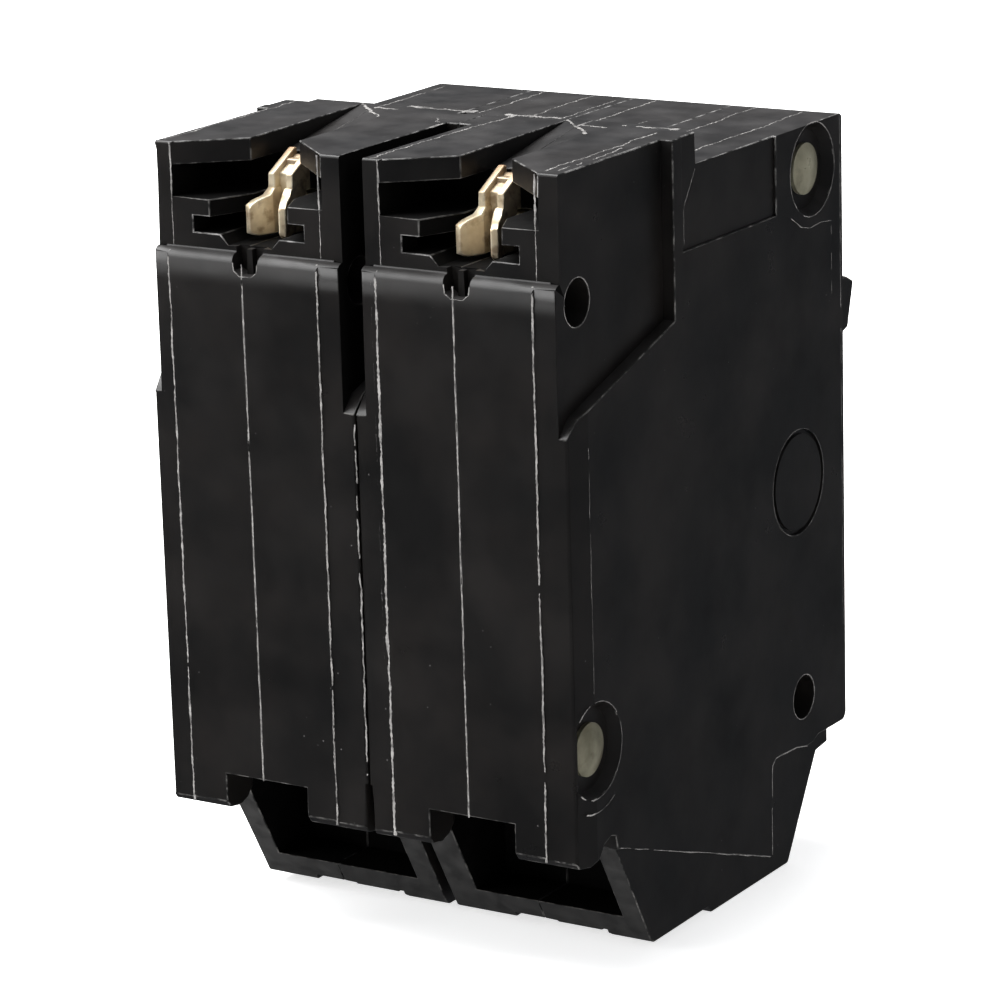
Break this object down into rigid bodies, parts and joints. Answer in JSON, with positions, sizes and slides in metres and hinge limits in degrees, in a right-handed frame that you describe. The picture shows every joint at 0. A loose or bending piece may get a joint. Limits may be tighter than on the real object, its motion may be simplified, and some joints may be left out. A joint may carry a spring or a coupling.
{
  "type": "two-pole ground fault circuit breaker",
  "caption": "Black plug-in circuit breaker with joined handles, sprung stab jaws, rail hook pockets, load terminals and a test button.",
  "frame": {"origin": "centre of the bounding box, on the flat of the load end", "axes": "+Z from the load end to the line end, +Y out of the back that plugs on, -Y out of the handle side"},
  "size_m": [0.0508, 0.0662, 0.0848],
  "materials": {
    "shell": "moulded black thermoset, satin gloss with worn edges",
    "handle_plastic": "moulded black, satin",
    "brass": "stamped, lightly tarnished",
    "silver": "silver alloy contact",
    "copper": "bare copper",
    "steel": "zinc plated",
    "spring_steel": "drawn wire",
    "bimetal": "rolled strip",
    "lug": "tin plated",
    "screw_steel": "zinc plated",
    "rivet": "dull nickel",
    "label": "blank matte label",
    "trip_plastic": "dark brown, matte",
    "button": "moulded white, satin",
    "board": "green solder mask",
    "chips": "black moulded cases",
    "ferrite": "varnished toroid",
    "solenoid": "wound coil with steel frame"
  },
  "bodies": {
    "case": {"left_outer_shell": "shell", "left_inner_shell": "shell", "left_stab_clip": "brass", "left_fixed_contact": "silver", "left_arc_chute": "steel", "left_bimetal": "bimetal", "left_magnet_yoke": "steel", "left_armature_spring": "spring_steel", "left_braid": "copper", "left_load_strap": "copper", "left_load_lug": "lug", "left_calibration_screw": "screw_steel", "left_front_label": "label", "left_pivot_pins": "steel", "right_outer_shell": "shell", "right_inner_shell": "shell", "right_stab_clip": "brass", "right_fixed_contact": "silver", "right_arc_chute": "steel", "right_bimetal": "bimetal", "right_magnet_yoke": "steel", "right_armature_spring": "spring_steel", "right_braid": "copper", "right_load_strap": "copper", "right_load_lug": "lug", "right_calibration_screw": "screw_steel", "right_front_label": "label", "right_pivot_pins": "steel", "assembly_rivets": "rivet", "test_button_spring": "spring_steel", "circuit_board": "board", "board_components": "chips", "current_transformer": "ferrite", "trip_solenoid": "solenoid"},
    "handles": {"left_handle": "handle_plastic", "right_handle": "handle_plastic", "handle_tie": "handle_plastic"},
    "trip_bar": {"trip_bar": "trip_plastic"},
    "test_button": {"test_button": "button"},
    "solenoid_plunger": {"solenoid_plunger": "steel"},
    "left_contact_arm": {"left_contact_arm": "copper", "left_moving_contact": "silver", "left_main_spring": "spring_steel"},
    "left_cradle": {"left_cradle": "steel"},
    "left_armature": {"left_armature": "steel"},
    "left_terminal_screw": {"left_terminal_screw": "screw_steel"},
    "left_pressure_pad": {"left_pressure_pad": "steel"},
    "right_contact_arm": {"right_contact_arm": "copper", "right_moving_contact": "silver", "right_main_spring": "spring_steel"},
    "right_cradle": {"right_cradle": "steel"},
    "right_armature": {"right_armature": "steel"},
    "right_terminal_screw": {"right_terminal_screw": "screw_steel"},
    "right_pressure_pad": {"right_pressure_pad": "steel"}
  },
  "joints": [
    {"name": "handle_toggle", "type": "hinge", "parent": "case", "child": "handles", "pos_m": [0, -0.0139, 0.053], "axis": [1, 0, 0], "range_deg": [0, 40]},
    {"name": "trip_bar_turn", "type": "hinge", "parent": "case", "child": "trip_bar", "pos_m": [0, 0.0091, 0.0555], "axis": [-1, 0, 0], "range_deg": [0, 8]},
    {"name": "left_arm_swing", "type": "hinge", "parent": "case", "child": "left_contact_arm", "pos_m": [0.0127, -0.0014, 0.049], "axis": [1, 0, 0], "range_deg": [0, 20]},
    {"name": "left_cradle_swing", "type": "hinge", "parent": "case", "child": "left_cradle", "pos_m": [0.0127, -0.0109, 0.036], "axis": [1, 0, 0], "range_deg": [0, 8]},
    {"name": "left_armature_swing", "type": "hinge", "parent": "case", "child": "left_armature", "pos_m": [0.0127, 0.0055, 0.0506], "axis": [1, 0, 0], "range_deg": [0, 5]},
    {"name": "left_screw_turn", "type": "hinge", "parent": "case", "child": "left_terminal_screw", "pos_m": [0.0127, -0.0099, 0.0075], "axis": [0, 1, 0], "range_deg": [0, 720]},
    {"name": "left_pad_travel", "type": "slide", "parent": "case", "child": "left_pressure_pad", "axis": [0, 1, 0], "range_m": [0, 0.0025]},
    {"name": "right_arm_swing", "type": "hinge", "parent": "case", "child": "right_contact_arm", "pos_m": [-0.0127, -0.0014, 0.049], "axis": [1, 0, 0], "range_deg": [0, 20]},
    {"name": "right_cradle_swing", "type": "hinge", "parent": "case", "child": "right_cradle", "pos_m": [-0.0127, -0.0109, 0.036], "axis": [1, 0, 0], "range_deg": [0, 8]},
    {"name": "right_armature_swing", "type": "hinge", "parent": "case", "child": "right_armature", "pos_m": [-0.0127, 0.0055, 0.0506], "axis": [1, 0, 0], "range_deg": [0, 5]},
    {"name": "right_screw_turn", "type": "hinge", "parent": "case", "child": "right_terminal_screw", "pos_m": [-0.0127, -0.0099, 0.0075], "axis": [0, 1, 0], "range_deg": [0, 720]},
    {"name": "right_pad_travel", "type": "slide", "parent": "case", "child": "right_pressure_pad", "axis": [0, 1, 0], "range_m": [0, 0.0025]},
    {"name": "plunger_travel", "type": "slide", "parent": "case", "child": "solenoid_plunger", "axis": [0, 1, 0], "range_m": [0, 0.0015], "stiffness_N_per_m": 150, "springref_m": -0.001},
    {"name": "test_button_press", "type": "slide", "parent": "case", "child": "test_button", "axis": [0, 1, 0], "range_m": [0, 0.0012], "stiffness_N_per_m": 300, "springref_m": -0.001, "deforming": ["test_button_spring"]}
  ],
  "couplings": [
    {"joint": "left_arm_swing", "follows": "handle_toggle", "ratio": 0.5},
    {"joint": "left_cradle_swing", "follows": "plunger_travel", "rad_per_m": 93.08},
    {"joint": "left_armature_swing", "follows": "plunger_travel", "rad_per_m": 58.17},
    {"joint": "left_screw_turn", "follows": "left_pad_travel", "rad_per_m": 5026.5},
    {"joint": "right_arm_swing", "follows": "handle_toggle", "ratio": 0.5},
    {"joint": "right_cradle_swing", "follows": "plunger_travel", "rad_per_m": 93.08},
    {"joint": "right_armature_swing", "follows": "plunger_travel", "rad_per_m": 58.17},
    {"joint": "right_screw_turn", "follows": "right_pad_travel", "rad_per_m": 5026.5},
    {"joint": "trip_bar_turn", "follows": "plunger_travel", "rad_per_m": 93.08}
  ]
}
